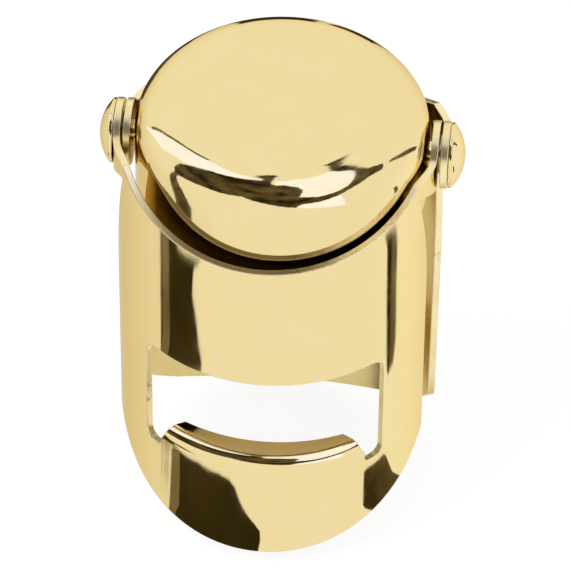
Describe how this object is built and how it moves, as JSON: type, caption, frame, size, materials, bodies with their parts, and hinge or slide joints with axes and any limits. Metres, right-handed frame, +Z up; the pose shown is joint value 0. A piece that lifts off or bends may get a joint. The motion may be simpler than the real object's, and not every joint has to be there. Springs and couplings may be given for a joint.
{
  "type": "bottle stopper",
  "caption": "Clamp-on sparkling-wine stopper: a drum cap over a rubber seal, with half-round sheet jaws hinged on domed rivets, each with a window and an inward lip that hooks under the collar.",
  "frame": {"origin": "centre of the rubber sealing face, which rests on the bottle's mouth", "axes": "+Z up through the middle of the cap, +X along the hinge axis to the right rivet, -Y towards the front jaw"},
  "size_m": [0.0446, 0.0389, 0.0611],
  "materials": {
    "gold_polish": "mirror-polished pale gold",
    "washer_metal": "bright, slightly duller gold",
    "seal_rubber": "matt moulded rubber"
  },
  "bodies": {
    "cap": {"cap_shell": "gold_polish", "seal": "seal_rubber", "left_rivet": "gold_polish", "right_rivet": "gold_polish", "left_washer": "washer_metal", "right_washer": "washer_metal"},
    "front_jaw": {"front_jaw": "gold_polish"},
    "back_jaw": {"back_jaw": "gold_polish"}
  },
  "joints": [
    {"name": "front_jaw_hinge", "type": "hinge", "parent": "cap", "child": "front_jaw", "pos_m": [0, 0, 0.012], "axis": [-1, 0, 0], "range_deg": [-5, 85]},
    {"name": "back_jaw_hinge", "type": "hinge", "parent": "cap", "child": "back_jaw", "pos_m": [0, 0, 0.012], "axis": [1, 0, 0], "range_deg": [-1, 91]}
  ]
}
